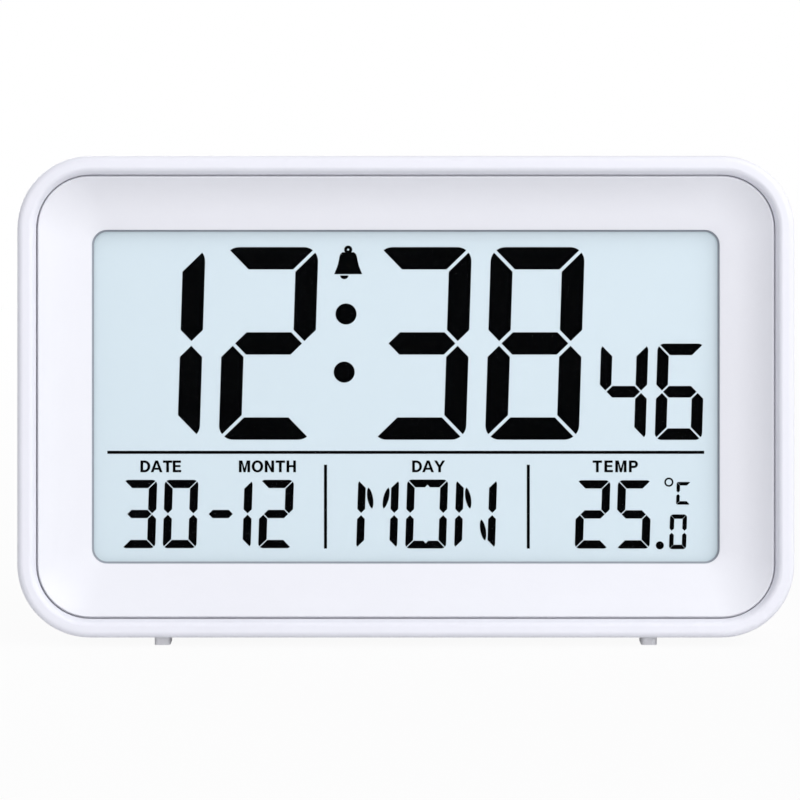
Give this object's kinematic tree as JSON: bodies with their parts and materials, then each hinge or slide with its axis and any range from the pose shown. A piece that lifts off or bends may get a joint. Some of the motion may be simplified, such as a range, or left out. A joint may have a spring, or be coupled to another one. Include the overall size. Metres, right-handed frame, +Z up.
{
  "type": "desk alarm clock",
  "caption": "Free-standing desk alarm clock with a dished bezel round a liquid crystal display, a snooze bar on top, keys and a battery door on the back.",
  "frame": {"origin": "on the surface that the clock stands on, under the middle of its box", "axes": "+Z up, +X to the right as seen from the front, +Y towards the back"},
  "size_m": [0.1378, 0.0394, 0.0868],
  "materials": {
    "case_white": "moulded white plastic, satin gloss",
    "bezel_white": "moulded white plastic, satin gloss",
    "tape_grey": "grey foam tape",
    "lens_clear": "clear polished acrylic",
    "display_film": "pale blue-grey polariser",
    "display_glass": "thin float glass",
    "strip_rubber": "layered conductive rubber",
    "holder_white": "matt white moulding",
    "guide_clear": "clear acrylic",
    "lamp_resin": "yellowish lamp resin",
    "board_green": "green solder mask",
    "screw_steel": "zinc plated",
    "chip_resin": "black resin",
    "can_metal": "tinned can",
    "switch_black": "black switch moulding",
    "key_white": "moulded white plastic, satin gloss",
    "key_grey": "light grey moulding",
    "ribbon_grey": "grey flat cable",
    "buzzer_brass": "thin brass disc",
    "ceramic_white": "silvered ceramic",
    "lead_black": "black insulation",
    "lead_red": "red insulation",
    "cell_jacket": "plain jacketed cell",
    "contact_nickel": "nickel plated spring steel",
    "foot_rubber": "grey soft rubber"
  },
  "bodies": {
    "case": {"front_case": "case_white", "rear_cover": "case_white", "bezel_frame": "bezel_white", "lens_tape": "tape_grey", "display_lens": "lens_clear", "polariser_film": "display_film", "lcd_front_glass": "display_glass", "lcd_rear_glass": "display_glass", "contact_strip": "strip_rubber", "display_holder": "holder_white", "light_guide": "guide_clear", "reflector_film": "holder_white", "backlight_lamps": "lamp_resin", "main_board": "board_green", "board_screws": "screw_steel", "controller_chip": "chip_resin", "quartz_crystal": "can_metal", "capacitor": "chip_resin", "temperature_sensor": "chip_resin", "snooze_switch": "switch_black", "case_screws": "screw_steel", "key_board": "board_green", "key_board_screws": "screw_steel", "key_switches": "switch_black", "ribbon_cable": "ribbon_grey", "alarm_switch": "can_metal", "buzzer_disc": "buzzer_brass", "buzzer_ceramic": "ceramic_white", "buzzer_leads": "lead_black", "upper_cell": "cell_jacket", "lower_cell": "cell_jacket", "upper_spring": "contact_nickel", "lower_spring": "contact_nickel", "negative_contact": "contact_nickel", "positive_contact": "contact_nickel", "bridge_contact": "contact_nickel", "negative_lead": "lead_black", "positive_lead": "lead_red", "front_left_foot": "foot_rubber", "front_right_foot": "foot_rubber", "rear_left_foot": "foot_rubber", "rear_right_foot": "foot_rubber"},
    "snooze": {"snooze_bar": "key_white", "snooze_plunger": "switch_black"},
    "alarm_slider": {"alarm_knob": "key_grey"},
    "door": {"battery_door": "case_white"},
    "mode_button": {"mode_key": "key_grey", "mode_plunger": "switch_black"},
    "up_button": {"up_key": "key_grey", "up_plunger": "switch_black"},
    "down_button": {"down_key": "key_grey", "down_plunger": "switch_black"},
    "alarm_button": {"alarm_key": "key_grey", "alarm_plunger": "switch_black"}
  },
  "joints": [
    {"name": "snooze_press", "type": "slide", "parent": "case", "child": "snooze", "axis": [0, -0.0698, -0.9976], "range_m": [0, 0.0005], "stiffness_N_per_m": 1200, "springref_m": -0.0003},
    {"name": "mode_press", "type": "slide", "parent": "case", "child": "mode_button", "axis": [0, -0.9976, 0.0698], "range_m": [0, 0.0005], "stiffness_N_per_m": 1200, "springref_m": -0.0003},
    {"name": "up_press", "type": "slide", "parent": "case", "child": "up_button", "axis": [0, -0.9976, 0.0698], "range_m": [0, 0.0005], "stiffness_N_per_m": 1200, "springref_m": -0.0003},
    {"name": "down_press", "type": "slide", "parent": "case", "child": "down_button", "axis": [0, -0.9976, 0.0698], "range_m": [0, 0.0005], "stiffness_N_per_m": 1200, "springref_m": -0.0003},
    {"name": "alarm_press", "type": "slide", "parent": "case", "child": "alarm_button", "axis": [0, -0.9976, 0.0698], "range_m": [0, 0.0005], "stiffness_N_per_m": 1200, "springref_m": -0.0003},
    {"name": "alarm_switch_slide", "type": "slide", "parent": "case", "child": "alarm_slider", "axis": [1, 0, 0], "range_m": [0, 0.003]},
    {"name": "battery_door_hinge", "type": "hinge", "parent": "case", "child": "door", "pos_m": [0, 0.0153, 0.01588], "axis": [-1, 0, 0], "range_deg": [0, 75]}
  ]
}
